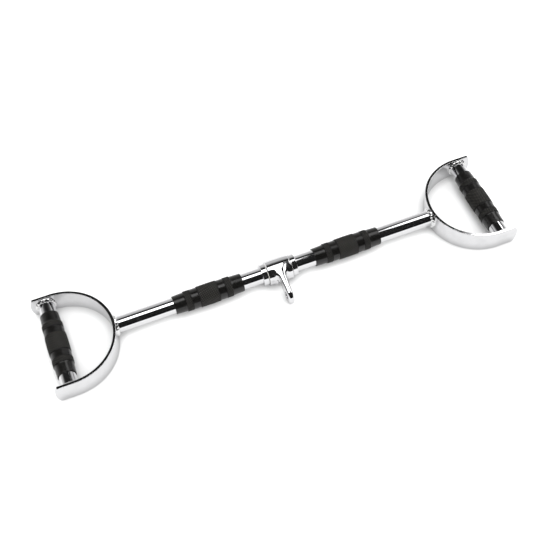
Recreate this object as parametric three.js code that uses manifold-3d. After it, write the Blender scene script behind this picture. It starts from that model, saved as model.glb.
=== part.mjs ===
// Cable pull-down bar: a chrome tube with rubber grips, a hanger that revolves on the tube, and at each
// end a flat-strap stirrup with a second handle across it.
// Millimetres. +X runs along the bar, +Z is up, and the stirrups lie flat, just above the plane Z = 0.
// The origin is under the middle of the bar. The hanger's sleeve is a little thicker than the straps are
// wide, so the sleeve and the tip of its lug are what touches Z = 0.

import * as THREE from 'three';
import { mergeVertices } from 'three/addons/utils/BufferGeometryUtils.js';
import Module from 'manifold-3d';

const wasm = await Module();
wasm.setup();

// Driving dimensions
const gap = 0.3; // between pieces that touch on the real object
const runningGap = 0.08; // radial, between the bushes and the tube they turn on
const endFloat = 0.2; // axial, on each side of a bush's flange

const tubeRadius = 14;
const tubeWall = 2.5;

const strapWidth = 40;
const strapThickness = 5;
const stirrupRadius = 89.5; // outer face of the bend
const stirrupApex = 289; // outer face of the strap where the bar meets it
const strapCorner = 407.5; // end of a leg at the strap's edges
const strapEndBulge = 5.5; // how far the leg's end stands out in the middle of the strap
const postPlace = 387.6; // axis of the handle across the stirrup

const weldLeg = 5;
const postWeldLeg = 4.5;

const gripLength = 122;
const barGripPlace = 126.8; // middle of a grip on the main bar
const gripBore = tubeRadius + 0.2;
// Half of a grip, from its end to its middle: where each band ends, and its radius at its start and end.
const gripBands = [
  { end: 20, from: 15.7, to: 16.4 }, // smooth lip
  { end: 31, from: 17.65, to: 17.65 }, // knurled ring
  { end: 43.5, from: 17.25, to: 17.25 }, // smooth waist
  { end: 61, from: 18.2, to: 18.5 }, // knurled hand area, slightly barrelled
];

const sleeveHalf = 20.6;
const sleeveEndRadius = 20.6;
const sleeveRadius = 21.2; // in its middle, so it is slightly crowned
const flangeThickness = 1;
const flangeRadius = 17.6;
const bushWall = 1.5;
const bushLength = 15;
const collarLength = 9.2;
const collarRadius = 19;
const collarChamfer = 1;
const screwRadius = 2.5;
const screwSocketAcross = 2.5;
const screwSocketDepth = 2;

const eyeDistance = 51; // from the bar's axis to the eye's
const eyeRadius = 16;
const eyeHoleRadius = 6.5;
const eyeHalf = 5; // half thickness of the lug round the eye, where its sides are parallel
const lugRootRadius = 21; // the lug's outline touches this circle about the bar's axis
const lugRootHalf = 6; // half thickness where the flare to the sleeve begins
const flareRadius = 10;

// Worked out from the above
const axisHeight = sleeveRadius;
const strapMiddle = strapWidth / 2;
const stirrupLift = axisHeight - strapMiddle;
const stirrupCentre = stirrupApex + stirrupRadius;
const strapInner = stirrupRadius - strapThickness;
const legCorner = strapCorner - stirrupCentre;
const legEnd = legCorner + strapEndBulge;
const postOffset = postPlace - stirrupCentre;
const sleeveBore = tubeRadius + runningGap + bushWall + gap;
const flangePlace = sleeveHalf + endFloat;
const collarPlace = flangePlace + flangeThickness + endFloat;
const collarBore = tubeRadius + gap;
const lugDrop = Math.asin((axisHeight - eyeRadius) / eyeDistance); // the lug's tip rests on the ground

// Facets round a full turn
const roundSteps = 64;
const weldSteps = 36;
const gripSteps = 36;
const smallSteps = 16;

// Finishes
const chrome = { color: 0xd9dadc, roughness: 0.08, metalness: 1 };
const weldChrome = { color: 0xcfd0d2, roughness: 0.2, metalness: 1 };
const castChrome = { color: 0xd6d7d9, roughness: 0.12, metalness: 1 };
const rubber = { color: 0x1b1c1e, roughness: 0.75, metalness: 0 };
const nylon = { color: 0xe9e8e2, roughness: 0.5, metalness: 0 };
const screwSteel = { color: 0x6f7175, roughness: 0.4, metalness: 1 };

// Solids for joining and cutting

function toSolid(geometry) {
  const bare = geometry.clone();
  bare.deleteAttribute('normal');
  bare.deleteAttribute('uv');
  const merged = mergeVertices(bare, 1e-4);
  const mesh = new wasm.Mesh({
    numProp: 3,
    vertProperties: Float32Array.from(merged.attributes.position.array),
    triVerts: Uint32Array.from(merged.index.array),
  });
  return new wasm.Manifold(mesh);
}

function toGeometry(solid) {
  const mesh = solid.getMesh();
  const geometry = new THREE.BufferGeometry();
  geometry.setAttribute('position', new THREE.BufferAttribute(Float32Array.from(mesh.vertProperties), 3));
  geometry.setIndex(new THREE.BufferAttribute(Uint32Array.from(mesh.triVerts), 1));
  geometry.computeVertexNormals();
  return geometry;
}

// Basic forms

// A ring about the Y axis. The profile is a list of [radius, place along the axis], anticlockwise.
function turned(profile, steps = roundSteps) {
  const points = [...profile, profile[0]].map(([radius, along]) => new THREE.Vector2(radius, along));
  return new THREE.LatheGeometry(points, steps);
}

// The same about the X axis, with places counted along +X.
function turnedAlongX(profile, steps = roundSteps) {
  return turned(profile, steps).rotateZ(-Math.PI / 2);
}

function pipe(outer, inner, from, to) {
  return turned([[inner, from], [outer, from], [outer, to], [inner, to]]);
}

function extruded(shape, depth, steps) {
  return new THREE.ExtrudeGeometry(shape, { depth, curveSegments: steps, bevelEnabled: false });
}

// Stirrup. Its own frame has the centre of the bend at the origin, the legs along +X and the strap's
// lower edge at 0.

function strapShape() {
  const shape = new THREE.Shape();
  shape.moveTo(legEnd, -stirrupRadius);
  shape.lineTo(0, -stirrupRadius);
  shape.absarc(0, 0, stirrupRadius, -Math.PI / 2, Math.PI / 2, true);
  shape.lineTo(legEnd, stirrupRadius);
  shape.lineTo(legEnd, strapInner);
  shape.lineTo(0, strapInner);
  shape.absarc(0, 0, strapInner, Math.PI / 2, -Math.PI / 2, false);
  shape.lineTo(legEnd, -strapInner);
  return shape;
}

// The strap seen from its side, with the legs' convex ends.
function strapSideShape() {
  const endRadius = (strapMiddle ** 2 + strapEndBulge ** 2) / (2 * strapEndBulge);
  const spread = Math.asin(strapMiddle / endRadius);
  const shape = new THREE.Shape();
  shape.moveTo(-stirrupRadius - 1, 0);
  shape.lineTo(legCorner, 0);
  shape.absarc(legEnd - endRadius, strapMiddle, endRadius, -spread, spread, false);
  shape.lineTo(-stirrupRadius - 1, strapWidth);
  return shape;
}

function stirrupGeometry() {
  const strap = toSolid(extruded(strapShape(), strapWidth, roundSteps / 2));
  const reach = 2 * stirrupRadius + 2;
  const side = extruded(strapSideShape(), reach, smallSteps / 2);
  side.translate(0, 0, -reach / 2).rotateX(Math.PI / 2);
  return toGeometry(strap.intersect(toSolid(side)));
}

// The space inside the stirrup, less the gap that the pieces in it keep to the strap.
function stirrupSpace() {
  const radius = strapInner - gap;
  const shape = new THREE.Shape();
  shape.moveTo(legEnd, -radius);
  shape.lineTo(legEnd, radius);
  shape.lineTo(0, radius);
  shape.absarc(0, 0, radius, Math.PI / 2, -Math.PI / 2, false);
  return toSolid(extruded(shape, strapWidth, 2 * roundSteps));
}

// Weld beads: a ring with a rounded face between a tube and the strap. The bead's base is at place 0 and its
// toe on the tube at -leg. The base runs on past the strap's face, and the strap's outline then trims it.
function beadProfile(leg, overrun) {
  const inner = tubeRadius + gap;
  const bulge = 0.2 * leg;
  return [
    [inner, overrun],
    [inner, -leg],
    [inner + leg / 3 + bulge / 2, -leg * (2 / 3) - bulge / 2],
    [inner + leg * (2 / 3) + bulge / 2, -leg / 3 - bulge / 2],
    [inner + leg, 0],
    [inner + leg, overrun],
  ];
}

function barWeldGeometry() {
  const bead = turnedAlongX(beadProfile(weldLeg, 4), weldSteps);
  bead.translate(-stirrupRadius - gap, 0, strapMiddle);
  const radius = stirrupRadius + gap;
  const bend = new THREE.CylinderGeometry(radius, radius, 2 * strapWidth, 4 * roundSteps);
  return toGeometry(toSolid(bead).subtract(toSolid(bend.rotateX(Math.PI / 2))));
}

// The bead at the post's end on the +Y leg.
function postWeldGeometry() {
  const bead = turned(beadProfile(postWeldLeg, 1), weldSteps);
  bead.translate(postOffset, strapInner - gap, strapMiddle);
  return toGeometry(toSolid(bead).intersect(stirrupSpace()));
}

function postGeometry() {
  const reach = strapInner - gap;
  return pipe(tubeRadius, tubeRadius - tubeWall, -reach, reach);
}

// Grip, about the Y axis with its middle at the origin

function gripGeometry() {
  const half = gripLength / 2;
  const lower = [];
  let start = 0;
  for (const band of gripBands) {
    lower.push([band.from, start - half], [band.to, band.end - half]);
    start = band.end;
  }
  const upper = lower.slice(0, -1).reverse().map(([radius, along]) => [radius, -along]);
  return turned([[gripBore, -half], ...lower, ...upper, [gripBore, half]], gripSteps);
}

// Hanger and what holds it on the bar. The frame has the bar's axis on X and the middle of the hanger at 0.

function sleeveGeometry() {
  const crown = [];
  for (let step = -4; step <= 4; step += 1) {
    const part = step / 4;
    crown.push([sleeveRadius - (sleeveRadius - sleeveEndRadius) * part ** 2, sleeveHalf * part]);
  }
  return turnedAlongX([[sleeveBore, -sleeveHalf], ...crown, [sleeveBore, sleeveHalf]]);
}

// The lug seen along the bar: the outline round a circle inside the sleeve and the eye's circle.
function lugSideShape() {
  const lean = Math.acos((lugRootRadius - eyeRadius) / eyeDistance);
  const root = new THREE.Vector2(Math.cos(lean), Math.sin(lean)).multiplyScalar(lugRootRadius);
  const shape = new THREE.Shape();
  shape.moveTo(root.x, -root.y);
  shape.absarc(eyeDistance, 0, eyeRadius, -lean, lean, false);
  shape.lineTo(root.x, root.y);
  return shape;
}

// The lug seen from its top edge: a blade that thins towards the eye.
function lugTopShape() {
  const root = sleeveRadius + flareRadius;
  const eyeStart = eyeDistance - eyeHoleRadius;
  const tip = eyeDistance + eyeRadius + 1;
  const shape = new THREE.Shape();
  shape.moveTo(0, -lugRootHalf);
  shape.lineTo(root, -lugRootHalf);
  shape.lineTo(eyeStart, -eyeHalf);
  shape.lineTo(tip, -eyeHalf);
  shape.lineTo(tip, eyeHalf);
  shape.lineTo(eyeStart, eyeHalf);
  shape.lineTo(root, lugRootHalf);
  shape.lineTo(0, lugRootHalf);
  return shape;
}

// The fillet between the blade and the sleeve, turned about the bar's axis.
function flareGeometry() {
  const half = [];
  for (let step = 0; step <= 6; step += 1) {
    const turn = (step / 6) * (Math.PI / 2);
    const along = lugRootHalf + flareRadius * (1 - Math.cos(turn));
    half.push([sleeveEndRadius + flareRadius * (1 - Math.sin(turn)), along]);
  }
  const mirrored = [...half].reverse().map(([radius, along]) => [radius, -along]);
  return turnedAlongX([[sleeveBore, mirrored[0][1]], ...mirrored, ...half, [sleeveBore, half.at(-1)[1]]]);
}

function hangerGeometry() {
  const width = 2 * sleeveHalf;
  const height = 4 * sleeveRadius;
  // Both outlines are drawn with the lug along +X and turned to point along -Y.
  const outline = extruded(lugSideShape(), width, roundSteps / 2).translate(0, 0, -width / 2);
  outline.rotateX(Math.PI / 2).rotateZ(-Math.PI / 2);
  const blade = extruded(lugTopShape(), height, 1).translate(0, 0, -height / 2).rotateZ(-Math.PI / 2);
  const lug = toSolid(outline).intersect(toSolid(blade).add(toSolid(flareGeometry())));
  const bore = new THREE.CylinderGeometry(sleeveBore, sleeveBore, 2 * width, roundSteps);
  bore.rotateZ(-Math.PI / 2);
  const hole = new THREE.CylinderGeometry(eyeHoleRadius, eyeHoleRadius, width, roundSteps / 2);
  hole.rotateZ(-Math.PI / 2).translate(0, -eyeDistance, 0);
  const body = toSolid(sleeveGeometry()).add(lug.subtract(toSolid(bore)));
  return toGeometry(body.subtract(toSolid(hole)));
}

function bushGeometry() {
  const bore = tubeRadius + runningGap;
  const outer = bore + bushWall;
  const inEnd = flangePlace - bushLength;
  const outEnd = flangePlace + flangeThickness;
  return turnedAlongX([
    [bore, inEnd], [outer, inEnd], [outer, flangePlace],
    [flangeRadius, flangePlace], [flangeRadius, outEnd], [bore, outEnd],
  ]);
}

function collarGeometry() {
  const end = collarPlace + collarLength;
  const face = collarRadius - collarChamfer;
  const ring = turnedAlongX([
    [collarBore, collarPlace], [face, collarPlace], [collarRadius, collarPlace + collarChamfer],
    [collarRadius, end - collarChamfer], [face, end], [collarBore, end],
  ]);
  const hole = new THREE.CylinderGeometry(screwRadius + gap, screwRadius + gap, collarRadius, smallSteps);
  hole.rotateX(Math.PI / 2).translate(collarPlace + collarLength / 2, 0, -collarRadius);
  return toGeometry(toSolid(ring).subtract(toSolid(hole)));
}

// A set screw along Z with its socket facing down and its tip at the origin.
function screwGeometry() {
  const length = collarRadius - collarBore;
  const shank = new THREE.CylinderGeometry(screwRadius, screwRadius, length, smallSteps).rotateX(Math.PI / 2);
  const corner = screwSocketAcross / Math.sqrt(3);
  const socket = new THREE.CylinderGeometry(corner, corner, 2 * screwSocketDepth, 6).rotateX(Math.PI / 2);
  socket.translate(0, 0, -length / 2);
  return toGeometry(toSolid(shank).subtract(toSolid(socket)).translate([0, 0, -length / 2]));
}

// Assembly

const bar = new THREE.Group();

function piece(parent, name, geometry, finish) {
  const mesh = new THREE.Mesh(geometry, new THREE.MeshStandardMaterial(finish));
  mesh.name = name;
  parent.add(mesh);
  return mesh;
}

const onAxis = new THREE.Group();
onAxis.position.z = axisHeight;
bar.add(onAxis);

const barReach = stirrupApex - gap;
const tube = piece(onAxis, 'bar_tube', pipe(tubeRadius, tubeRadius - tubeWall, -barReach, barReach), chrome);
tube.rotation.z = -Math.PI / 2;

const hanger = piece(onAxis, 'hanger', hangerGeometry(), castChrome);
hanger.rotation.x = lugDrop;

// Everything else comes once for each end of the bar. The left end is the right end turned half round.
for (const [side, turn] of [['right', 0], ['left', Math.PI]]) {
  const end = new THREE.Group();
  end.rotation.z = turn;
  bar.add(end);

  const stirrup = new THREE.Group();
  stirrup.position.set(stirrupCentre, 0, stirrupLift);
  end.add(stirrup);
  piece(stirrup, `${side}_stirrup`, stirrupGeometry(), chrome);
  piece(stirrup, `${side}_bar_weld`, barWeldGeometry(), weldChrome);
  const post = piece(stirrup, `${side}_handle_post`, postGeometry(), chrome);
  post.position.set(postOffset, 0, strapMiddle);
  const handleGrip = piece(stirrup, `${side}_handle_grip`, gripGeometry(), rubber);
  handleGrip.position.copy(post.position);

  const awayLeg = turn === 0 ? 'rear' : 'front';
  const otherLeg = turn === 0 ? 'front' : 'rear';
  piece(stirrup, `${side}_${awayLeg}_post_weld`, postWeldGeometry(), weldChrome);
  const otherWeld = piece(stirrup, `${side}_${otherLeg}_post_weld`, postWeldGeometry(), weldChrome);
  otherWeld.rotation.x = Math.PI;
  otherWeld.position.z = strapWidth;

  const axis = new THREE.Group();
  axis.position.z = axisHeight;
  end.add(axis);
  const barGrip = piece(axis, `${side}_bar_grip`, gripGeometry(), rubber);
  barGrip.rotation.z = -Math.PI / 2;
  barGrip.position.x = barGripPlace;
  piece(axis, `${side}_hanger_bush`, bushGeometry(), nylon);
  piece(axis, `${side}_hanger_collar`, collarGeometry(), chrome);
  const screw = piece(axis, `${side}_collar_screw`, screwGeometry(), screwSteel);
  screw.position.set(collarPlace + collarLength / 2, 0, -collarBore);
}

export default bar;
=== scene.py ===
"""Looks of the cable pull-down bar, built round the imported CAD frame.

Shapes are worked out in millimetres and scaled to metres when a mesh is made.
+X runs along the bar, -Y is towards the viewer and +Z is up.
"""

import math

import bpy
import numpy as np
from mathutils import Matrix, Vector


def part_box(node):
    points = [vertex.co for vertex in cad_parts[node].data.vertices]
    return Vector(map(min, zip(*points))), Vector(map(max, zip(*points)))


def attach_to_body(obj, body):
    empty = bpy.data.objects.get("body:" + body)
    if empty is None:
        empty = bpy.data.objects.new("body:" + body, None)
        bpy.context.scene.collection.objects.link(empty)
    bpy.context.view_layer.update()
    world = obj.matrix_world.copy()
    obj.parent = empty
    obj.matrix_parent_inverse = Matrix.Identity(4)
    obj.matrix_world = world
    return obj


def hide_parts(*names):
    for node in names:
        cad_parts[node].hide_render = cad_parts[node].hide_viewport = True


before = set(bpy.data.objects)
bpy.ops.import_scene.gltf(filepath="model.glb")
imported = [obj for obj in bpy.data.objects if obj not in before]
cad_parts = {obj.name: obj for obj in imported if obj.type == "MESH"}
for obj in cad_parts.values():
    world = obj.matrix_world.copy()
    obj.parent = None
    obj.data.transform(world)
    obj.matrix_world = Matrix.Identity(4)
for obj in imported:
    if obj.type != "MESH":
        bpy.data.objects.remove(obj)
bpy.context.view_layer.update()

MM = 0.001


def box_mm(node):
    """Lowest and highest corners of a CAD node, in millimetres."""
    low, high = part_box(node)
    return np.array(low) / MM, np.array(high) / MM


# ---------------------------------------------------------------- sizes, from the frame

tube_low, tube_high = box_mm("bar_tube")
AXIS_HEIGHT = (tube_low[2] + tube_high[2]) / 2
TUBE_RADIUS = (tube_high[2] - tube_low[2]) / 2
TUBE_REACH = tube_high[0]

strap_low, strap_high = box_mm("right_stirrup")
STIRRUP_RADIUS = strap_high[1]
STIRRUP_APEX = strap_low[0]
STIRRUP_CENTRE = STIRRUP_APEX + STIRRUP_RADIUS
STRAP_WIDTH = strap_high[2] - strap_low[2]
LEG_END = strap_high[0] - STIRRUP_CENTRE

post_low, post_high = box_mm("right_handle_post")
POST_PLACE = (post_low[0] + post_high[0]) / 2
POST_REACH = post_high[1]

bead_low, _ = box_mm("right_bar_weld")
BAR_BEAD_LEG = STIRRUP_APEX - bead_low[0]
post_bead_low, post_bead_high = box_mm("right_rear_post_weld")
POST_BEAD_LEG = post_bead_high[1] - post_bead_low[1]

grip_low, grip_high = box_mm("right_bar_grip")
GRIP_LENGTH = grip_high[0] - grip_low[0]
GRIP_PLACE = (grip_low[0] + grip_high[0]) / 2

collar_low, collar_high = box_mm("right_hanger_collar")
COLLAR_LENGTH = collar_high[0] - collar_low[0]
COLLAR_MIDDLE = (collar_low[0] + collar_high[0]) / 2
COLLAR_RADIUS = (collar_high[2] - collar_low[2]) / 2

bush_low, bush_high = box_mm("right_hanger_bush")
FLANGE_RADIUS = (bush_high[2] - bush_low[2]) / 2

hanger_low, hanger_high = box_mm("hanger")
SLEEVE_HALF = (hanger_high[0] - hanger_low[0]) / 2
SLEEVE_RADIUS = hanger_high[2] - AXIS_HEIGHT

# ---------------------------------------------------------------- sizes the frame doesn't give directly

TOUCH = 0.3  # the CAD pieces that touch keep this apart
ROUND = 192  # points round a turned piece

TUBE_WALL = 2.5
TUBE_EDGE = 0.4
STRAP_THICKNESS = STIRRUP_RADIUS - POST_REACH - TOUCH
STRAP_EDGE = 0.55  # radius of the strap's edges
END_INSET = 0.98 * STRAP_EDGE  # how far the leg's end face stays inside the section
LEG_BULGE = 5.5  # how far the middle of a leg's convex end stands out past its corners
BEND_STEPS = 144

BEAD_SIZE = 0.94  # a bead's mean size, as a share of its CAD leg
BEAD_SWELL = 0.1  # how far that share wanders round the bead
BEAD_CROWN = 0.1  # how far the bead's face bulges between its scales, as a share of its size
SCALE_HEIGHT = 0.2  # how far the scales stand above that
SCALES = 16  # scales round a bead
SCALE_POWER = 0.7  # below 1, which makes the scales full and the gaps between them narrow
SCALE_ARC = 1.1  # how far a scale's edge curves, in radians of its ripple
SCALE_WANDER = 0.5  # and how unevenly the scales are spaced
BEAD_SUNK = 0.25  # how far a bead goes into the tube and the strap

COLLAR_BORE = TUBE_RADIUS + TOUCH
COLLAR_EDGE = 0.9
COLLAR_BORE_EDGE = 0.5
BUSH_BORE = TUBE_RADIUS + 0.08
BUSH_OUTER = BUSH_BORE + 1.5
FLANGE_THICKNESS = 1.0

SLEEVE_BORE = BUSH_OUTER + TOUCH
SLEEVE_BORE_EDGE = 0.7
SLEEVE_EDGE = 1.1
SLEEVE_CROWN = 0.6  # how much thinner the sleeve is at its ends, in radius
EYE_DISTANCE = 51.0
EYE_RADIUS = 16.0
EYE_HOLE = 6.5
EYE_HOLE_EDGE = 1.2
EYE_HALF = 5.0  # half the lug's thickness at the eye
ROOT_HALF = 6.0  # and where the flare begins
FLARE_RADIUS = 10.0  # of the fillet between the lug and the sleeve
BLADE_EDGE = 3.4
BLADE_CROWN = 28.0  # radius across the lug's edge
FLARE_CROWN = 70.0  # added to that radius at the foot of the flare, where the edge is flatter
LUG_FILLET = 2.0
OUTLINE_EDGE = 0.3
LUG_DROP = math.asin((AXIS_HEIGHT - EYE_RADIUS) / EYE_DISTANCE)
HANGER_VOXEL = 0.5
COLLAR_VOXEL = 0.4

SCREW_RADIUS = 2.5
SCREW_TIP = 1.2  # radius of the flat at the screw's upper end
THREAD_DEPTH = 0.22
THREAD_PITCH = 0.4
SOCKET_ACROSS = 2.5
SOCKET_CHAMFER = 0.12
SOCKET_DEPTH = 2.0

# ---------------------------------------------------------------- mesh helpers


def weighted_normals(points, faces):
    """A normal for each point, from its faces weighted by area, so that broad faces stay flat."""
    corners = points[faces]
    across = np.cross(corners[:, 2] - corners[:, 0], corners[:, 3] - corners[:, 1])
    weight = np.linalg.norm(across, axis=1, keepdims=True)
    normals = np.zeros_like(points)
    for corner in range(4):
        np.add.at(normals, faces[:, corner], across * weight)
    return normals / np.maximum(np.linalg.norm(normals, axis=1, keepdims=True), 1e-12)


def ring_faces(rings, around, closed):
    """Quads between neighbouring rings of points. closed joins the last ring to the first."""
    count = rings if closed else rings - 1
    ring = np.arange(count)[:, None]
    step = np.arange(around)[None, :]
    following = (ring + 1) % rings
    beside = (step + 1) % around
    a = ring * around + step
    b = ring * around + beside
    c = following * around + beside
    d = following * around + step
    return np.stack([a, b, c, d], axis=-1).reshape(-1, 4)


def end_faces(around, offset, forward):
    """Closes a ring whose points pair up across it, point i with the point i from the end."""
    half = around // 2
    near = np.arange(half - 1)
    far = around - 1 - near
    quads = np.stack([near, near + 1, far - 1, far], axis=-1)
    return (quads if forward else quads[:, ::-1]) + offset


def facing_out(points, faces):
    """The faces, turned round if their normals point into the piece."""
    a, b, c, d = (points[faces[:, corner]] for corner in range(4))
    volume = np.einsum("ij,ij->", a, np.cross(b, c)) + np.einsum("ij,ij->", a, np.cross(c, d))
    return faces if volume > 0 else faces[:, ::-1]


def make_piece(name, points, faces, material, broad=False):
    """A smooth mesh object from millimetre points and quads.

    broad keeps its wide faces flat in the shading.
    """
    faces = facing_out(points, faces)
    mesh = bpy.data.meshes.new(name)
    mesh.from_pydata((points * MM).tolist(), [], faces.tolist())
    mesh.shade_smooth()
    if broad:
        mesh.normals_split_custom_set_from_vertices(weighted_normals(points, faces).tolist())
    mesh.materials.append(material)
    piece = bpy.data.objects.new(name, mesh)
    bpy.context.scene.collection.objects.link(piece)
    return piece


def rounded(corners, radii, steps=5):
    """A closed outline with its corners rounded. radii gives each corner's radius."""
    corners = np.array(corners, float)
    outline = []
    for index, radius in enumerate(radii):
        corner = corners[index]
        if radius == 0:
            outline.append(corner)
            continue
        before = corners[index - 1] - corner
        after = corners[(index + 1) % len(corners)] - corner
        before /= np.linalg.norm(before)
        after /= np.linalg.norm(after)
        half_angle = math.acos(np.clip(before @ after, -1, 1)) / 2
        inward = (before + after) / np.linalg.norm(before + after)
        centre = corner + inward * radius / math.sin(half_angle)
        start = corner + before * radius / math.tan(half_angle) - centre
        end = corner + after * radius / math.tan(half_angle) - centre
        sweep = math.pi - 2 * half_angle
        for step in range(steps + 1):
            part = step / steps
            mixed = start * math.sin((1 - part) * sweep) + end * math.sin(part * sweep)
            outline.append(centre + mixed / math.sin(sweep))
    return np.array(outline)


def turned_points(outline, around=ROUND, axis="x"):
    """Rings of points round an axis. The outline is (radius, place along the axis) pairs."""
    turn = np.linspace(0, 2 * math.pi, around, endpoint=False)
    radius = outline[:, :1]
    along = np.repeat(outline[:, 1:2], around, axis=1)
    one = radius * np.cos(turn)
    other = radius * np.sin(turn)
    order = {"x": [along, one, other], "y": [other, along, one], "z": [one, other, along]}[axis]
    return np.stack(order, axis=-1)


def turned_piece(name, outline, material, axis="x", centre=(0, 0, 0), around=ROUND):
    """A ring-shaped piece with a closed outline, turned round an axis through centre."""
    rings = turned_points(outline, around, axis)
    points = rings.reshape(-1, 3) + np.array(centre, float)
    return make_piece(name, points, ring_faces(len(rings), around, True), material, broad=True)


# ---------------------------------------------------------------- materials


def grey(level):
    return (level, level, level)


class Nodes:
    """A material with one Principled shader, and short names for the nodes that feed it."""

    def __init__(self, name):
        self.material = bpy.data.materials.new(name)
        self.material.use_nodes = True
        self.tree = self.material.node_tree
        self.shader = self.tree.nodes["Principled BSDF"]
        self.place = self.tree.nodes.new("ShaderNodeTexCoord").outputs["Object"]

    def link(self, source, target):
        self.tree.links.new(source, target)

    def noise(self, scale, detail=3.0, roughness=0.5, stretch=(1, 1, 1)):
        mapping = self.tree.nodes.new("ShaderNodeMapping")
        mapping.inputs["Scale"].default_value = stretch
        self.link(self.place, mapping.inputs["Vector"])
        node = self.tree.nodes.new("ShaderNodeTexNoise")
        node.inputs["Scale"].default_value = scale
        node.inputs["Detail"].default_value = detail
        node.inputs["Roughness"].default_value = roughness
        self.link(mapping.outputs["Vector"], node.inputs["Vector"])
        return node.outputs["Fac"]

    def ramp(self, source, *stops):
        """Maps a value to a colour or level. Each stop is (place, colour or level)."""
        node = self.tree.nodes.new("ShaderNodeValToRGB")
        elements = node.color_ramp.elements
        while len(elements) < len(stops):
            elements.new(0.5)
        for element, (place, level) in zip(elements, stops):
            element.position = place
            colour = grey(level) if isinstance(level, float) else level
            element.color = (*colour, 1.0)
        self.link(source, node.inputs["Fac"])
        return node.outputs["Color"]

    def mix(self, factor, first, second):
        """A colour between two, by factor. Each may be a fixed colour or another node's output."""
        node = self.tree.nodes.new("ShaderNodeMix")
        node.data_type = "RGBA"
        self.link(factor, node.inputs["Factor"])
        for value, socket in ((first, node.inputs[6]), (second, node.inputs[7])):
            if isinstance(value, tuple):
                socket.default_value = (*value, 1.0)
            else:
                self.link(value, socket)
        return node.outputs[2]

    def bump(self, height, distance, strength=1.0, over=None):
        node = self.tree.nodes.new("ShaderNodeBump")
        node.inputs["Distance"].default_value = distance
        node.inputs["Strength"].default_value = strength
        self.link(height, node.inputs["Height"])
        if over is not None:
            self.link(over, node.inputs["Normal"])
        return node.outputs["Normal"]

    def attribute(self, name):
        node = self.tree.nodes.new("ShaderNodeAttribute")
        node.attribute_name = name
        return node.outputs["Fac"]


def chrome_material(name, tint, smooth, rough, ripple):
    """Bright plated steel, with a faint haze and hairlines in its gloss.

    smooth and rough are the roughness of the clear metal and of the hairlines. ripple is the depth in
    metres of the slight waves that polishing leaves.
    """
    nodes = Nodes(name)
    shader = nodes.shader
    shader.inputs["Metallic"].default_value = 1.0
    haze = nodes.noise(55, detail=5, roughness=0.6)
    shade = tuple(channel * 0.95 for channel in tint)
    hazed = nodes.mix(nodes.ramp(haze, (0.42, 0.0), (0.68, 1.0)), tint, shade)
    nodes.link(hazed, shader.inputs["Base Color"])
    hairs = nodes.noise(420, detail=2, stretch=(0.12, 1, 1))
    gloss = nodes.mix(
        nodes.ramp(hairs, (0.5, 0.0), (0.78, 1.0)),
        nodes.ramp(haze, (0.35, smooth), (0.75, (smooth + rough) / 2)),
        grey(rough),
    )
    nodes.link(gloss, shader.inputs["Roughness"])
    wave = nodes.bump(nodes.noise(38, detail=1), ripple)
    nodes.link(nodes.bump(hairs, 0.0000012, over=wave), shader.inputs["Normal"])
    return nodes.material


def weld_material():
    """Plated weld metal: the same chrome over a coarser, slightly pitted skin."""
    nodes = Nodes("chrome_over_weld")
    shader = nodes.shader
    shader.inputs["Metallic"].default_value = 1.0
    pits = nodes.noise(650, detail=4, roughness=0.65)
    nodes.link(nodes.ramp(pits, (0.3, 0.62), (0.5, 0.84)), shader.inputs["Base Color"])
    nodes.link(nodes.ramp(pits, (0.35, 0.16), (0.62, 0.06)), shader.inputs["Roughness"])
    nodes.link(nodes.bump(pits, 0.00010), shader.inputs["Normal"])
    return nodes.material


def smooth_rubber_material():
    """The grips' smooth bands: nearly black and fairly glossy, with a faint grain and finger marks."""
    nodes = Nodes("rubber_smooth")
    shader = nodes.shader
    marks = nodes.noise(70, detail=4, roughness=0.6)
    shader.inputs["Specular IOR Level"].default_value = 0.5
    handled = nodes.mix(marks, (0.0015, 0.0013, 0.0011), (0.004, 0.0037, 0.0032))
    nodes.link(handled, shader.inputs["Base Color"])
    nodes.link(nodes.ramp(marks, (0.3, 0.18), (0.7, 0.28)), shader.inputs["Roughness"])
    nodes.link(nodes.bump(nodes.noise(900, detail=2), 0.000012), shader.inputs["Normal"])
    return nodes.material


def knurl_rubber_material():
    """The grips' knurl: duller, with painted shade making the grooves nearly black, and rubbed paler on
    the diamonds' tips.
    """
    nodes = Nodes("rubber_knurl")
    shader = nodes.shader
    height = nodes.attribute("knurl")
    wear = nodes.noise(60, detail=4, roughness=0.65)
    shader.inputs["Specular IOR Level"].default_value = 0.2
    tips = nodes.mix(wear, (0.042, 0.04, 0.035), (0.115, 0.11, 0.098))
    # Painted shade in the grooves, darker than the rubber itself; the tips are paler from wear
    wear_and_groove_shade = nodes.mix(nodes.ramp(height, (0.7, 0.0), (1.0, 1.0)), (0.0005, 0.0005, 0.0005), tips)
    nodes.link(wear_and_groove_shade, shader.inputs["Base Color"])
    nodes.link(nodes.ramp(height, (0.3, 0.65), (1.0, 0.42)), shader.inputs["Roughness"])
    nodes.link(nodes.bump(nodes.noise(1400, detail=2), 0.00003), shader.inputs["Normal"])
    return nodes.material


def nylon_material():
    """The bushes: off-white nylon with grey grime."""
    nodes = Nodes("nylon_bush_white")
    shader = nodes.shader
    grime = nodes.noise(180, detail=5, roughness=0.6)
    nodes.link(nodes.mix(grime, (0.72, 0.71, 0.67), (0.55, 0.54, 0.50)), shader.inputs["Base Color"])
    nodes.link(nodes.ramp(grime, (0.3, 0.38), (0.7, 0.55)), shader.inputs["Roughness"])
    nodes.link(nodes.bump(grime, 0.00003), shader.inputs["Normal"])
    return nodes.material


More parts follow.
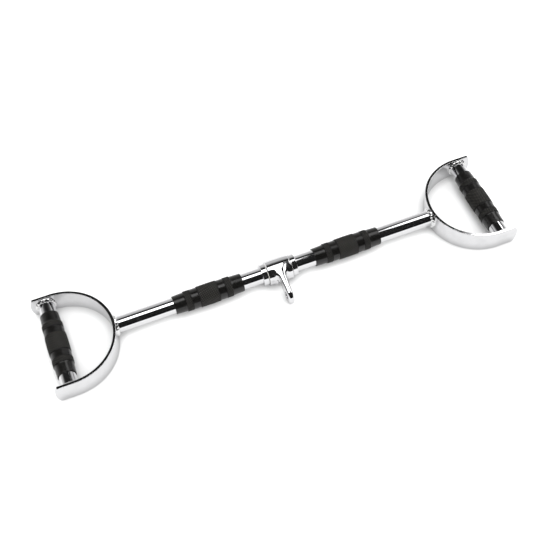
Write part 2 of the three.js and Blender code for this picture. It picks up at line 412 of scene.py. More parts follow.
def screw_material():
    """Dull zinc-plated steel with turning marks."""
    nodes = Nodes("screw_steel_dull")
    shader = nodes.shader
    shader.inputs["Metallic"].default_value = 1.0
    marks = nodes.noise(900, detail=3, stretch=(1, 1, 0.2))
    nodes.link(nodes.mix(marks, (0.30, 0.30, 0.31), (0.46, 0.46, 0.47)), shader.inputs["Base Color"])
    nodes.link(nodes.ramp(marks, (0.3, 0.42), (0.7, 0.28)), shader.inputs["Roughness"])
    nodes.link(nodes.bump(marks, 0.00002), shader.inputs["Normal"])
    return nodes.material


# Tints. The turned pieces are polished brighter and flatter than the strap and the casting.
TURNED = (0.80, 0.80, 0.81)
FORMED = (0.79, 0.79, 0.80)
TUBE_CHROME = chrome_material("chrome_tube_finish", TURNED, smooth=0.025, rough=0.11, ripple=0.00002)
STRAP_CHROME = chrome_material("chrome_strap_finish", FORMED, smooth=0.035, rough=0.14, ripple=0.00010)
CAST_CHROME = chrome_material("chrome_cast_finish", FORMED, smooth=0.04, rough=0.14, ripple=0.00009)
COLLAR_CHROME = chrome_material("chrome_collar_finish", TURNED, smooth=0.03, rough=0.12, ripple=0.00002)
WELD_CHROME = weld_material()
SMOOTH_RUBBER = smooth_rubber_material()
KNURL_RUBBER = knurl_rubber_material()
NYLON = nylon_material()
SCREW_STEEL = screw_material()

# ---------------------------------------------------------------- tube, posts and stirrups


def attach(piece, body, slot, *nodes):
    """Puts a piece on its body, in place of its CAD nodes. slot is not used."""
    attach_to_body(piece, body)
    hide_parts(*nodes)


def tube_outline(reach):
    """The section of a tube's wall, from -reach to reach along it."""
    inner = TUBE_RADIUS - TUBE_WALL
    corners = [(inner, -reach), (TUBE_RADIUS, -reach), (TUBE_RADIUS, reach), (inner, reach)]
    return rounded(corners, [TUBE_EDGE] * 4, steps=3)


def make_bar_tube():
    centre = (0, 0, AXIS_HEIGHT)
    piece = turned_piece("chrome_bar_tube", tube_outline(TUBE_REACH), TUBE_CHROME, "x", centre)
    attach(piece, "bar", "chrome_tube", "bar_tube")


def make_post(side, sign):
    centre = (sign * POST_PLACE, 0, AXIS_HEIGHT)
    piece = turned_piece(f"chrome_{side}_post", tube_outline(POST_REACH), TUBE_CHROME, "y", centre)
    attach(piece, "bar", "chrome_tube", f"{side}_handle_post")


def strap_section(inset):
    """The strap's section, shrunk by inset, as (across its thickness, up its width).

    Point i pairs with the point i from the end.
    """
    half_thickness = STRAP_THICKNESS / 2
    half_width = STRAP_WIDTH / 2
    edge = STRAP_EDGE - inset
    middle = half_thickness - STRAP_EDGE
    turns = np.linspace(-math.pi / 2, 0, 7)
    low = [(middle + edge * math.cos(t), STRAP_EDGE - half_width + edge * math.sin(t)) for t in turns]
    flat = np.linspace(STRAP_EDGE - half_width, half_width - STRAP_EDGE, 15)[1:-1]
    face = [(middle + edge, up) for up in flat]
    high = [(across, -up) for across, up in reversed(low)]
    outer = np.array(low + face + high)
    inner = outer[::-1] * [-1, 1]
    return np.concatenate([outer, inner])


def leg_end_place(up, inset):
    """How far along the leg its convex end is at a height up from the strap's middle."""
    half_width = STRAP_WIDTH / 2
    radius = (half_width**2 + LEG_BULGE**2) / (2 * LEG_BULGE)
    return LEG_END - radius + np.sqrt(radius**2 - up**2) - inset


def stirrup_rings():
    """Rings along the strap, from the front leg's end round the bend to the rear leg's end."""
    middle_radius = STIRRUP_RADIUS - STRAP_THICKNESS / 2

    def leg_ring(along, inset):
        """A ring across the front leg. along is its place, or gives it from the height on the strap."""
        section = strap_section(inset)
        ring = np.empty((len(section), 3))
        ring[:, 0] = along(section[:, 1]) if callable(along) else along
        ring[:, 1] = -(middle_radius + section[:, 0])
        ring[:, 2] = section[:, 1]
        return ring

    # The leg's end with its edge rounded over, one more ring along its bulge, then straight ones.
    front = []
    for turn in np.linspace(0, math.pi / 2, 6):
        inset = END_INSET * (1 - math.sin(turn))
        back = STRAP_EDGE * (1 - math.cos(turn))
        front.append(leg_ring(lambda up, back=back: leg_end_place(up, back), inset))
    front.append(leg_ring(lambda up: leg_end_place(up, STRAP_EDGE + 1.5), 0))
    for along in np.linspace(LEG_END - LEG_BULGE - 2.5, 0, 7):
        front.append(leg_ring(along, 0))

    section = strap_section(0)
    radius = middle_radius + section[:, 0]
    bend = []
    for angle in np.linspace(-math.pi / 2, -3 * math.pi / 2, BEND_STEPS + 1)[1:-1]:
        across = radius * math.cos(angle)
        away = radius * math.sin(angle)
        bend.append(np.stack([across, away, section[:, 1]], axis=-1))
    rear = [ring * [1, -1, 1] for ring in front[::-1]]
    return np.array(front + bend + rear)


def make_stirrup(side, sign):
    """A strap bent to a stirrup. sign turns it about the middle of the bar."""
    rings = stirrup_rings()
    around = rings.shape[1]
    faces = np.concatenate([
        ring_faces(len(rings), around, False),
        end_faces(around, 0, False),
        end_faces(around, (len(rings) - 1) * around, True),
    ])
    points = rings.reshape(-1, 3) + [STIRRUP_CENTRE, 0, AXIS_HEIGHT]
    points[:, :2] *= sign
    piece = make_piece(f"chrome_{side}_stirrup", points, faces, STRAP_CHROME, broad=True)
    attach(piece, "bar", "chrome_strap", f"{side}_stirrup")


# ---------------------------------------------------------------- weld beads


def bead_rings(leg, wall_at, seed, around=240):
    """A bead round a tube that meets a wall.

    Its frame has the tube along +X, and wall_at(y, z) is the wall's place. The bead's face is a little
    convex and carries the overlapping scales of a hand-made weld.
    """
    random = np.random.default_rng(seed)
    turn = np.linspace(0, 2 * math.pi, around, endpoint=False)
    phases = random.uniform(0, 2 * math.pi, 4)
    swell = sum(np.sin((k + 2) * turn + phase) / (k + 2) for k, phase in enumerate(phases))
    size = leg * (BEAD_SIZE + BEAD_SWELL * swell)
    rings = []
    for part in np.linspace(0, 1, 15):
        swing = part * math.pi / 2
        arc = SCALE_ARC * math.sin(2 * swing)
        scale = np.abs(np.sin(SCALES / 2 * turn + arc + SCALE_WANDER * swell)) ** SCALE_POWER
        lift = math.sin(2 * swing) * (BEAD_CROWN + SCALE_HEIGHT * scale) * size
        # The straight line between the toes, pushed out along its normal by lift.
        out = TUBE_RADIUS + size * part + lift / math.sqrt(2)
        back = size * (1 - part) + lift / math.sqrt(2)
        if part == 0:
            out = out - BEAD_SUNK
        y = out * np.cos(turn)
        z = out * np.sin(turn)
        x = wall_at(y, z) - back + (BEAD_SUNK if part == 1 else 0)
        rings.append(np.stack([x, y, z], axis=-1))
    hidden = TUBE_RADIUS - BEAD_SUNK
    y = hidden * np.cos(turn)
    z = hidden * np.sin(turn)
    rings.append(np.stack([wall_at(y, z) + BEAD_SUNK, y, z], axis=-1))
    return np.array(rings)


def bend_wall(y, z):
    """The strap's outer face where the bar meets it. It stands upright, so z makes no difference."""
    return STIRRUP_CENTRE - np.sqrt(STIRRUP_RADIUS**2 - y**2)


def leg_wall(y, z):
    """The strap's inner face where a post meets it, likewise upright, with the post along X."""
    inner = STIRRUP_RADIUS - STRAP_THICKNESS
    into_bend = np.minimum(y + POST_PLACE - STIRRUP_CENTRE, 0)
    return np.sqrt(inner**2 - into_bend**2)


def make_bar_weld(side, sign, seed):
    """The bead between the bar and the outside of a stirrup's bend."""
    rings = bead_rings(BAR_BEAD_LEG, bend_wall, seed)
    points = rings.reshape(-1, 3)
    points[:, :2] *= sign
    points = points + [0, 0, AXIS_HEIGHT]
    faces = ring_faces(len(rings), rings.shape[1], True)
    piece = make_piece(f"weld_{side}_bar", points, faces, WELD_CHROME)
    attach(piece, "bar", "chrome_weld", f"{side}_bar_weld")


def make_post_weld(side, sign, leg_name, leg_sign, seed):
    """The bead between a handle's post and one leg of its stirrup."""
    rings = bead_rings(POST_BEAD_LEG, leg_wall, seed)
    points = rings.reshape(-1, 3)
    # The bead's X is the way along the post, and its Y is the way out towards the legs' ends.
    along, out, up = points.T
    placed = np.stack([sign * (POST_PLACE + out), leg_sign * along, AXIS_HEIGHT + up], axis=-1)
    faces = ring_faces(len(rings), rings.shape[1], True)
    piece = make_piece(f"weld_{side}_{leg_name}_post", placed, faces, WELD_CHROME)
    attach(piece, "bar", "chrome_weld", f"{side}_{leg_name}_post_weld")


# ---------------------------------------------------------------- grips

# From each end a grip has a smooth lip, a knurled ring and a smooth waist. The hand is its knurled middle.
LIP_END = 20.0
RING_END = 31.0
WAIST_END = 43.5
LIP_RADII = (15.7, 16.4)  # at the grip's end and beside the ring
RING_RADIUS = 17.65
WAIST_RADIUS = 17.25
HAND_RADII = (18.2, 18.5)  # beside the waist and in the middle
SHOULDER = 0.7  # length of the step between two bands
GRIP_EDGE = 0.8
GRIP_BORE = TUBE_RADIUS + 0.2
BORE_CHAMFER = 0.6
DIAMONDS = 30  # knurl diamonds round a grip
KNURL_PITCH = 3.8  # length of a diamond along the grip
KNURL_DEPTH = 0.6
KNURL_BEVEL = 0.8
DIAMOND_SLOPE = 1.45  # above 1, so that the diamonds' tips are flat
PLAIN_HEIGHT = 0.4  # what the smooth bands have as their knurl height
GRIP_AROUND = 6 * DIAMONDS


def grip_radius(place_from_end):
    """Radius of a grip's plain form, before the knurl, at a distance from its nearer end."""
    lip = np.interp(place_from_end, [0, LIP_END], LIP_RADII)
    hand = np.interp(place_from_end, [WAIST_END, GRIP_LENGTH / 2], HAND_RADII)

    def blend(edge):
        part = np.clip((place_from_end - edge) / SHOULDER + 0.5, 0, 1)
        return part * part * (3 - 2 * part)

    radius = lip + (RING_RADIUS - lip) * blend(LIP_END)
    radius = radius + (WAIST_RADIUS - RING_RADIUS) * blend(RING_END)
    radius = radius + (hand - WAIST_RADIUS) * blend(WAIST_END)
    rounding = np.clip(1 - place_from_end / GRIP_EDGE, 0, 1)
    return radius - GRIP_EDGE * (1 - np.sqrt(1 - rounding**2))


def knurl_band(place_from_end):
    """1 inside the knurled bands, falling to 0 over a short bevel at their edges."""
    ring = np.minimum(place_from_end - LIP_END, RING_END - place_from_end)
    hand = place_from_end - WAIST_END
    return np.clip(np.maximum(ring, hand) / KNURL_BEVEL, 0, 1)


def grip_stations():
    """Places along half a grip that have a ring of points, close together where there is detail."""
    fine = KNURL_PITCH / 6
    half = GRIP_LENGTH / 2
    hand = np.arange(0, half - WAIST_END + fine / 2, fine)
    ring = np.arange(LIP_END, RING_END + fine / 2, fine)
    lip = [0, 0.06, 0.2, 0.4, 0.6, 0.8, 1.2, 3, 6, 9, 12, 15, 18, 19.2]
    waist = [RING_END + 0.4, RING_END + 0.8, 33, 35, 37, 39, 41, WAIST_END - 0.8, WAIST_END - 0.4]
    near = np.array(lip + list(ring) + waist)
    return np.concatenate([near, (half - hand)[::-1]])


def grip_rings():
    """The rings of a grip along X, their points' knurl heights, and which rings are knurled."""
    half = GRIP_LENGTH / 2
    near = grip_stations()
    along = np.concatenate([near - half, half - near[-2::-1]])
    from_end = half - np.abs(along)
    turn = np.linspace(0, 2 * math.pi, GRIP_AROUND, endpoint=False)
    lane = DIAMONDS * turn[None, :] / (2 * math.pi)
    advance = along[:, None] / KNURL_PITCH
    one = np.abs(2 * ((lane + advance) % 1) - 1)
    other = np.abs(2 * ((lane - advance) % 1) - 1)
    band = knurl_band(from_end)[:, None]
    height = np.minimum(1, DIAMOND_SLOPE * np.minimum(one, other))
    radius = grip_radius(from_end)[:, None] - KNURL_DEPTH * band * (1 - height)
    places = np.repeat(along[:, None], GRIP_AROUND, axis=1)
    outer = np.stack([places, radius * np.cos(turn), radius * np.sin(turn)], axis=-1)
    mouth = GRIP_BORE + BORE_CHAMFER
    inside = half - BORE_CHAMFER
    bore_outline = np.array([(mouth, half), (GRIP_BORE, inside), (GRIP_BORE, -inside), (mouth, -half)])
    bore = turned_points(bore_outline, GRIP_AROUND)
    rings = np.concatenate([outer, bore])
    outer_heights = height * band + PLAIN_HEIGHT * (1 - band)
    heights = np.concatenate([outer_heights, np.zeros((len(bore), GRIP_AROUND))])
    knurled = np.concatenate([band[:, 0] > 0, np.zeros(len(bore), bool)])
    return rings, heights, knurled


def make_grip_form():
    """What every grip's mesh is made from: points, faces, knurl heights, and which faces are knurled."""
    rings, heights, knurled = grip_rings()
    faces = ring_faces(len(rings), GRIP_AROUND, True)
    faces = facing_out(rings.reshape(-1, 3), faces)
    between = knurled | np.roll(knurled, -1)
    band_faces = np.repeat(between, GRIP_AROUND)
    return rings.reshape(-1, 3), faces, heights.reshape(-1), band_faces


def make_grip(name, node, form, centre, across):
    """A grip at centre, along X, or along Y if across."""
    points, faces, heights, band_faces = form
    if across:
        points = points[:, [1, 0, 2]] * [-1, 1, 1]
    points = points + centre
    piece = make_piece(name, points, faces, SMOOTH_RUBBER)
    mesh = piece.data
    mesh.materials.append(KNURL_RUBBER)
    mesh.polygons.foreach_set("material_index", band_faces.astype(np.int32))
    layer = mesh.attributes.new("knurl", "FLOAT", "POINT")
    layer.data.foreach_set("value", heights.astype(np.float32))
    attach(piece, "bar", "grip_rubber", node)


# ---------------------------------------------------------------- hanger, from a distance field


def soft_least(one, other, width):
    """The lesser of two distances, with a fillet of about width where they meet."""
    part = np.clip(0.5 + 0.5 * (other - one) / width, 0, 1)
    return other + (one - other) * part - width * part * (1 - part)


def soft_most(one, other, width):
    """The greater of two distances, with the edge where they meet softened over about width."""
    return -soft_least(-one, -other, width)


def filleted(one, other, radius):
    """The union of two distances, with a round fillet where they meet."""
    near = np.hypot(np.maximum(radius - one, 0), np.maximum(radius - other, 0))
    return np.maximum(radius, np.minimum(one, other)) - near


def rounded_corner(one, other, radius):
    """The overlap of two distances, with the corner between them rounded."""
    one = one + radius
    other = other + radius
    outside = np.hypot(np.maximum(one, 0), np.maximum(other, 0))
    return np.minimum(np.maximum(one, other), 0) + outside - radius


def lug_outline(y, z):
    """Distance to the outline round the sleeve's circle and the eye's, seen along the bar."""
    along = -y
    slope = (SLEEVE_RADIUS - EYE_RADIUS) / EYE_DISTANCE
    steep = math.sqrt(1 - slope**2)
    reach = along * steep - np.abs(z) * slope
    straight = along * slope + np.abs(z) * steep - SLEEVE_RADIUS
    outline = np.where(reach < 0, np.hypot(y, z) - SLEEVE_RADIUS, straight)
    eye = np.hypot(along - EYE_DISTANCE, z) - EYE_RADIUS
    return np.where(reach > EYE_DISTANCE * steep, eye, outline)


def hanger_distance(points):
    """Distance to the hanger's surface. Its frame has the bar along X and the lug along -Y."""
    x, y, z = points.T
    from_axis = np.hypot(y, z)
    crown = SLEEVE_CROWN * (x / SLEEVE_HALF) ** 2
    wall = from_axis - (SLEEVE_RADIUS - crown)
    sleeve = rounded_corner(wall, np.abs(x) - SLEEVE_HALF, SLEEVE_EDGE)

    # The lug: a disc about the bar's axis, filleted to the sleeve and trimmed to the outline.
    flare_end = SLEEVE_RADIUS + FLARE_RADIUS
    half = np.interp(from_axis, [flare_end, EYE_DISTANCE - EYE_HOLE], [ROOT_HALF, EYE_HALF])
    disc = filleted(from_axis - SLEEVE_RADIUS, np.abs(x) - half, FLARE_RADIUS)
    flare = np.clip((flare_end - from_axis) / FLARE_RADIUS, 0, 1)
    outline = lug_outline(y, z)
    crowned = outline + x**2 / (2 * (BLADE_CROWN + FLARE_CROWN * flare**2))
    lug = rounded_corner(crowned, disc, BLADE_EDGE)

    body = soft_most(soft_least(sleeve, lug, LUG_FILLET), outline, OUTLINE_EDGE)
    body = soft_most(body, SLEEVE_BORE - from_axis, SLEEVE_BORE_EDGE)
    return soft_most(body, EYE_HOLE - np.hypot(y + EYE_DISTANCE, z), EYE_HOLE_EDGE)


def collar_distance(points):
    """Distance to a collar's surface. Its frame has the bar along X and the screw hole below."""
    x, y, z = points.T
    from_axis = np.hypot(y, z)
    face = rounded_corner(from_axis - COLLAR_RADIUS, np.abs(x) - COLLAR_LENGTH / 2, COLLAR_EDGE)
    ring = soft_most(face, COLLAR_BORE - from_axis, COLLAR_BORE_EDGE)
    far_off = 1000.0
    hole = np.where(z < 0, np.hypot(x, y) - SCREW_RADIUS - TOUCH, far_off)
    return soft_most(ring, -hole, COLLAR_BORE_EDGE)


def settled(points, distance, rounds=8):
    """Points moved onto the surface where distance is 0, and the surface's normals there."""
    probe = 0.02
    least_slope = 0.2
    longest_move = 0.6
    for _ in range(rounds):
        here = distance(points)
        slopes = [
            (distance(points + offset) - distance(points - offset)) / (2 * probe)
            for offset in np.eye(3) * probe
        ]
        slope = np.stack(slopes, axis=-1)
        size = np.maximum(np.linalg.norm(slope, axis=1, keepdims=True), least_slope)
        move = np.clip(here[:, None] / size, -longest_move, longest_move)
        points = points - slope / size * move
    return points, slope / np.linalg.norm(slope, axis=1, keepdims=True)


def field_piece(name, node, distance, to_frame, material, voxel):
    """A smooth piece whose surface is where distance is 0, started from an evenly remeshed CAD node.

    to_frame takes the field's frame, in millimetres, to the part's. voxel is the remesh's size.
    """
    copied = bpy.data.objects.new(name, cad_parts[node].data.copy())
    bpy.context.scene.collection.objects.link(copied)
    remesh = copied.modifiers.new("even_faces", "REMESH")
    remesh.mode = "VOXEL"
    remesh.voxel_size = voxel * MM
    remesh.use_smooth_shade = True
    remeshed = copied.evaluated_get(bpy.context.evaluated_depsgraph_get())
    mesh = bpy.data.meshes.new_from_object(remeshed)
    copied.modifiers.remove(remesh)
    copied.data = mesh
    to_field = np.array(to_frame.inverted())
    back = np.array(to_frame)
    points = np.empty(len(mesh.vertices) * 3)
    mesh.vertices.foreach_get("co", points)
    points = points.reshape(-1, 3) / MM
    points = points @ to_field[:3, :3].T + to_field[:3, 3]
    points, normals = settled(points, distance)
    points = points @ back[:3, :3].T + back[:3, 3]
    normals = normals @ back[:3, :3].T
    mesh.vertices.foreach_set("co", (points * MM).reshape(-1))
    mesh.shade_smooth()
    mesh.update()
    mesh.normals_split_custom_set_from_vertices(normals.tolist())
    mesh.materials.clear()
    mesh.materials.append(material)
    return copied


def make_hanger():
    placed = Matrix.Translation((0, 0, AXIS_HEIGHT)) @ Matrix.Rotation(LUG_DROP, 4, "X")
    piece = field_piece("chrome_hanger", "hanger", hanger_distance, placed, CAST_CHROME, HANGER_VOXEL)
    attach(piece, "hanger", "chrome_casting", "hanger")


def make_collar(side, sign):
    placed = Matrix.Translation((sign * COLLAR_MIDDLE, 0, AXIS_HEIGHT))
    node = f"{side}_hanger_collar"
    name = f"chrome_{side}_collar"
    piece = field_piece(name, node, collar_distance, placed, COLLAR_CHROME, COLLAR_VOXEL)
    attach(piece, "bar", "chrome_collar", node)


def make_bush(side, sign):
    """A bush in the sleeve's end, with its flange between the sleeve and the collar."""
    low, high = box_mm(f"{side}_hanger_bush")
    near, far = sorted((abs(low[0]), abs(high[0])))
    shoulder = far - FLANGE_THICKNESS
    corners = [
        (BUSH_BORE, near),
        (BUSH_OUTER, near),
        (BUSH_OUTER, shoulder),
        (FLANGE_RADIUS, shoulder),
        (FLANGE_RADIUS, far),
        (BUSH_BORE, far),
    ]
    edges = [0.3, 0.3, 0.15, 0.25, 0.25, 0.3]
    outline = rounded(corners, edges, steps=3) * [1, sign]
    piece = turned_piece(f"nylon_{side}_bush", outline, NYLON, "x", (0, 0, AXIS_HEIGHT), around=128)
    attach(piece, "hanger", "bush_nylon", f"{side}_hanger_bush")


def make_set_screw(side, sign):
    """A set screw pointing up at the tube, with a hexagon socket in its lower end."""
    low, high = box_mm(f"{side}_collar_screw")
    around = 48
    turn = np.linspace(0, 2 * math.pi, around, endpoint=False)
    sector = (turn % (math.pi / 3)) - math.pi / 6
    hexagon = SOCKET_ACROSS / 2 / np.cos(sector)

    def ring(radius, up):
        radius = np.broadcast_to(radius, around)
        return np.stack([radius * np.cos(turn), radius * np.sin(turn), np.full(around, up)], -1)

    bottom = low[2]
    top = high[2]
    point = 0.01  # radius of the rings that close the ends
    upper = [
        ring(point, top),
        ring(SCREW_TIP, top),
        ring(SCREW_RADIUS - 0.5, top - 0.1),
        ring(SCREW_RADIUS, top - 0.6),
    ]
    threads = []
    for index, up in enumerate(np.arange(top - 0.9, bottom + 0.5, -THREAD_PITCH / 2)):
        depth = THREAD_DEPTH if index % 2 == 0 else 0.0
        threads.append(ring(SCREW_RADIUS - depth, up))
    lower = [
        ring(SCREW_RADIUS, bottom + 0.35),
        ring(SCREW_RADIUS - 0.3, bottom),
        ring(hexagon + SOCKET_CHAMFER, bottom),
        ring(hexagon, bottom + SOCKET_CHAMFER),
        ring(hexagon, bottom + SOCKET_DEPTH),
        ring(point, bottom + SOCKET_DEPTH + 0.5),
    ]
    rings = np.array(upper + threads + lower)
    points = rings.reshape(-1, 3) + [sign * COLLAR_MIDDLE, 0, 0]
    last = (len(rings) - 1) * around
    faces = np.concatenate([
        ring_faces(len(rings), around, False),
        end_faces(around, 0, False),
        end_faces(around, last, True),
    ])
    piece = make_piece(f"steel_{side}_set_screw", points, faces, SCREW_STEEL, broad=True)
    attach(piece, "bar", "screw_steel", f"{side}_collar_screw")


# ---------------------------------------------------------------- assembly

make_bar_tube()
make_hanger()
grip_form = make_grip_form()
for number, (side, sign) in enumerate((("left", -1), ("right", 1))):
    make_stirrup(side, sign)
    make_post(side, sign)
    make_bar_weld(side, sign, seed=10 + number)
    make_post_weld(side, sign, "front", -1, seed=20 + number)
    make_post_weld(side, sign, "rear", 1, seed=30 + number)
    on_bar = (sign * GRIP_PLACE, 0, AXIS_HEIGHT)
    on_post = (sign * POST_PLACE, 0, AXIS_HEIGHT)
    make_grip(f"grip_{side}_bar", f"{side}_bar_grip", grip_form, on_bar, across=False)
    make_grip(f"grip_{side}_handle", f"{side}_handle_grip", grip_form, on_post, across=True)
    make_collar(side, sign)
    make_bush(side, sign)
    make_set_screw(side, sign)

# ---------------------------------------------------------------- floor, light and camera

FLOOR_HALF = 6.0  # metres
CONTACT_REACH = 0.014  # metres; within this of the bar the floor has a painted contact shadow
PAINTED_CONTACT_SHADOW = 0.4  # the floor's colour in the painted contact shadow right beside the bar
# In reflections the floor is dimmer than the camera sees it, and has a painted glow, so that its shadows
# stay pale. Its painted contact shadow is darker there, with less glow.
MIRRORED_FLOOR = 0.33
MIRRORED_CONTACT_SHADOW = 0.06
MIRRORED_GLOW = 0.47
MIRRORED_SHADOW_GLOW = 0.1


def floor_material():
    """A matt, nearly white floor with a painted contact shadow close to the bar, dimmer in reflections,
    where it has a painted glow.
    """
    nodes = Nodes("pale_floor")
    shader = nodes.shader
    path = nodes.tree.nodes.new("ShaderNodeLightPath")
    to_camera = path.outputs["Is Camera Ray"]
    contact = nodes.tree.nodes.new("ShaderNodeAmbientOcclusion")
    contact.inputs["Distance"].default_value = CONTACT_REACH
    clear = contact.outputs["AO"]

    grain = nodes.noise(8, detail=3)
    seen = nodes.ramp(grain, (0.3, 0.87), (0.7, 0.89))
    colour = nodes.mix(to_camera, grey(MIRRORED_FLOOR), seen)
    painted_shadow = nodes.mix(to_camera, grey(MIRRORED_CONTACT_SHADOW), grey(PAINTED_CONTACT_SHADOW))
    # Painted contact shadow: ambient occlusion darkens the base colour within CONTACT_REACH of the bar
    nodes.link(nodes.mix(clear, painted_shadow, colour), shader.inputs["Base Color"])
    # Painted glow in reflections, weaker inside the painted contact shadow
    mirrored = nodes.mix(clear, grey(MIRRORED_SHADOW_GLOW), grey(MIRRORED_GLOW))
    nodes.link(nodes.mix(to_camera, mirrored, grey(0.0)), shader.inputs["Emission Color"])
    shader.inputs["Emission Strength"].default_value = 1.0
    shader.inputs["Roughness"].default_value = 0.95
    shader.inputs["Specular IOR Level"].default_value = 0.1
    return nodes.material


def make_floor():
    mesh = bpy.data.meshes.new("floor")
    corners = [
        (-FLOOR_HALF, -FLOOR_HALF, 0),
        (FLOOR_HALF, -FLOOR_HALF, 0),
        (FLOOR_HALF, FLOOR_HALF, 0),
        (-FLOOR_HALF, FLOOR_HALF, 0),
    ]
    mesh.from_pydata(corners, [], [(0, 1, 2, 3)])
    mesh.materials.append(floor_material())
    floor = bpy.data.objects.new("floor", mesh)
    bpy.context.scene.collection.objects.link(floor)


class WorldNodes:
    """Arithmetic on the direction a ray leaves in, as nodes of the world."""

    def __init__(self):
        world = bpy.data.worlds.new("studio")
        bpy.context.scene.world = world
        world.use_nodes = True
        self.tree = world.node_tree
        self.background = self.tree.nodes["Background"]
        direction = self.tree.nodes.new("ShaderNodeTexCoord").outputs["Generated"]
        parts = self.tree.nodes.new("ShaderNodeSeparateXYZ")
        self.tree.links.new(direction, parts.inputs[0])
        self.x, self.y, self.z = parts.outputs

    def math(self, operation, *values):
        node = self.tree.nodes.new("ShaderNodeMath")
        node.operation = operation
        for socket, value in zip(node.inputs, values):
            if isinstance(value, (int, float)):
                socket.default_value = value
            else:
                self.tree.links.new(value, socket)
        return node.outputs[0]

    def chain(self, operation, *values):
        """The values taken together by an operation such as ADD, MULTIPLY or MAXIMUM."""
        total = values[0]
        for value in values[1:]:
            total = self.math(operation, total, value)
        return total

    def above(self, value, edge, soft):
        """0 below an edge and 1 above it, with a soft change of the given width."""
        node = self.tree.nodes.new("ShaderNodeMapRange")
        node.interpolation_type = "SMOOTHSTEP"
        self.tree.links.new(value, node.inputs["Value"])
        node.inputs["From Min"].default_value = edge - soft / 2
        node.inputs["From Max"].default_value = edge + soft / 2
        return node.outputs["Result"]

    def below(self, value, edge, soft):
        """1 below an edge and 0 above it."""
        return self.math("SUBTRACT", 1, self.above(value, edge, soft))

    def off_centre(self, value, centre, half, power):
        """0 at a centre and 1 at half a width from it, rising by a power between them."""
        part = self.math("DIVIDE", self.math("SUBTRACT", value, centre), half)
        return self.math("POWER", self.math("ABSOLUTE", part), power)

    def choice(self, factor, off, on):
        """off where the factor is 0, and on where it is 1. on may be a number."""
        node = self.tree.nodes.new("ShaderNodeMix")
        node.data_type = "FLOAT"
        self.tree.links.new(factor, node.inputs["Factor"])
        self.tree.links.new(off, node.inputs[2])
        if isinstance(on, float):
            node.inputs[3].default_value = on
        else:
            self.tree.links.new(on, node.inputs[3])
        return node.outputs[0]


# A softbox's edges are straight in the plane overhead, where a place is across = x/z and away = y/z.
LAMP_LEVEL = 2.8
MAIN_LEFT = -0.7
MAIN_RIGHT = 0.203
MAIN_SLANT = 0.1  # how far its right side leans out as it goes away
MAIN_NEAR = -0.17
MAIN_FAR = 0.34
SIDE_ACROSS = 1.0  # the side softbox's middle
SIDE_AWAY = 0.2
SIDE_HALF_ACROSS = 0.668
SIDE_HALF_AWAY = 0.5
SIDE_POWER_ACROSS = 3.0  # the powers of its outline: 2 is an ellipse, and more is squarer
SIDE_POWER_AWAY = 2.4
LOWEST_LAMP = 0.05  # sine of the height below which no softbox is seen

BACKDROP_LEVEL = 0.62
BACKDROP_TOP = 0.72  # radians above the horizon behind the bar
BACKDROP_FADE = 0.5
RIM_RISE = 0.06  # sine of the height at which the rim fades
ROOM_LEVEL = 0.005
CEILING_LEVEL = 0.01  # added to that overhead

DOME_LEVEL = 2.05  # the even light that falls on the floor and the rubber
DOME_RIGHT = 0.35  # how much brighter it is from the right
DOME_FRONT = 1.0  # and from the camera's side
WHITE = 1.0


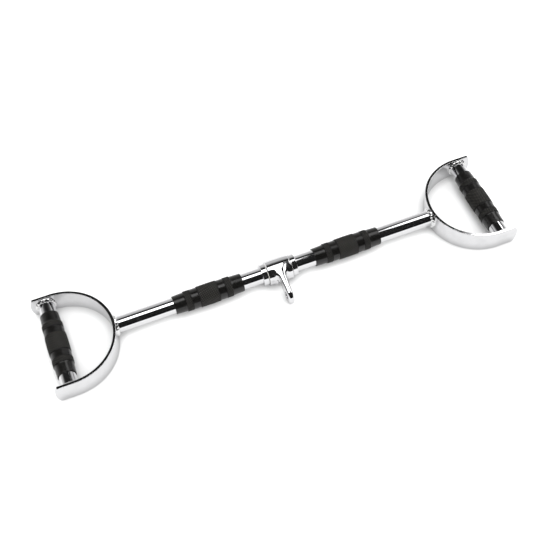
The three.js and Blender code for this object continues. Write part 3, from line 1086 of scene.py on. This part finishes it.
def make_studio():
    """What the chrome mirrors, what lights the floor and the rubber, and plain white behind it all.

    The chrome mirrors a dark room with two softboxes overhead, a pale backdrop behind the bar and a
    pale rim at the horizon.
    """
    sky = WorldNodes()
    overhead = sky.above(sky.z, LOWEST_LAMP, 0.02)
    up = sky.math("MAXIMUM", sky.z, 0.001)
    across = sky.math("DIVIDE", sky.x, up)
    away = sky.math("DIVIDE", sky.y, up)

    # Main softbox, straight over the bar
    leaning = sky.math("SUBTRACT", across, sky.math("MULTIPLY", away, MAIN_SLANT))
    main = sky.chain(
        "MULTIPLY",
        sky.above(away, MAIN_NEAR, 0.03),
        sky.below(away, MAIN_FAR, 0.03),
        sky.below(leaning, MAIN_RIGHT, 0.02),
        sky.above(across, MAIN_LEFT, 0.05),
    )

    # Side softbox, at the right, with rounded corners
    outline = sky.math(
        "ADD",
        sky.off_centre(across, SIDE_ACROSS, SIDE_HALF_ACROSS, SIDE_POWER_ACROSS),
        sky.off_centre(away, SIDE_AWAY, SIDE_HALF_AWAY, SIDE_POWER_AWAY),
    )
    side = sky.below(outline, 1.0, 0.12)
    lamps = sky.chain("MULTIPLY", sky.math("MAXIMUM", main, side), overhead, LAMP_LEVEL)

    # Backdrop behind the bar, brightest at the horizon
    rise = sky.math("ARCTAN2", sky.z, sky.y)
    backdrop = sky.math("MULTIPLY", sky.below(rise, BACKDROP_TOP, BACKDROP_FADE), BACKDROP_LEVEL)

    # Pale rim at the horizon, all round
    rim = sky.below(sky.math("ABSOLUTE", sky.z), RIM_RISE, 0.03)

    # The rest of the room is nearly black, a little less so towards the ceiling
    ceiling = sky.math("MULTIPLY", sky.above(sky.z, 0.5, 1.0), CEILING_LEVEL)
    room = sky.math("ADD", ceiling, ROOM_LEVEL)
    studio = sky.chain("ADD", sky.math("MAXIMUM", backdrop, rim), room, lamps)

    from_right = sky.math("MULTIPLY", sky.x, DOME_RIGHT)
    from_front = sky.math("MULTIPLY", sky.y, -DOME_FRONT)
    dome = sky.chain("ADD", from_right, from_front, DOME_LEVEL)

    path = sky.tree.nodes.new("ShaderNodeLightPath")
    light = sky.choice(path.outputs["Is Glossy Ray"], dome, studio)
    light = sky.choice(path.outputs["Is Camera Ray"], light, WHITE)
    sky.tree.links.new(light, sky.background.inputs["Strength"])
    sky.background.inputs["Color"].default_value = (1.0, 1.0, 1.0, 1.0)


CAMERA_AZIMUTH = math.radians(-18.387)
CAMERA_ELEVATION = math.radians(55.452)
CAMERA_ROLL = math.radians(-3.585)
CAMERA_DISTANCE = 1.59146
CAMERA_TARGET = Vector((-0.0111, 0.02711, 0.0012))
CAMERA_LENS = 61.57  # millimetres, as is the sensor
CAMERA_SENSOR = 36.0
CAMERA_REACH = 100.0  # metres


def make_camera():
    """The camera, which looks at its target from an azimuth counted from -Y, and is then rolled."""
    data = bpy.data.cameras.new("camera")
    data.lens = CAMERA_LENS
    data.sensor_width = CAMERA_SENSOR
    data.clip_end = CAMERA_REACH
    camera = bpy.data.objects.new("camera", data)
    bpy.context.scene.collection.objects.link(camera)
    flat = math.cos(CAMERA_ELEVATION)
    back = Vector((
        math.sin(CAMERA_AZIMUTH) * flat,
        -math.cos(CAMERA_AZIMUTH) * flat,
        math.sin(CAMERA_ELEVATION),
    ))
    right = Vector((0, 0, 1)).cross(back).normalized()
    up = back.cross(right)
    turned = Matrix((
        math.cos(CAMERA_ROLL) * right + math.sin(CAMERA_ROLL) * up,
        math.cos(CAMERA_ROLL) * up - math.sin(CAMERA_ROLL) * right,
        back,
    )).transposed().to_4x4()
    camera.matrix_world = Matrix.Translation(CAMERA_TARGET + CAMERA_DISTANCE * back) @ turned
    bpy.context.scene.camera = camera


make_floor()
make_studio()
make_camera()
bpy.context.scene.view_settings.view_transform = "Standard"
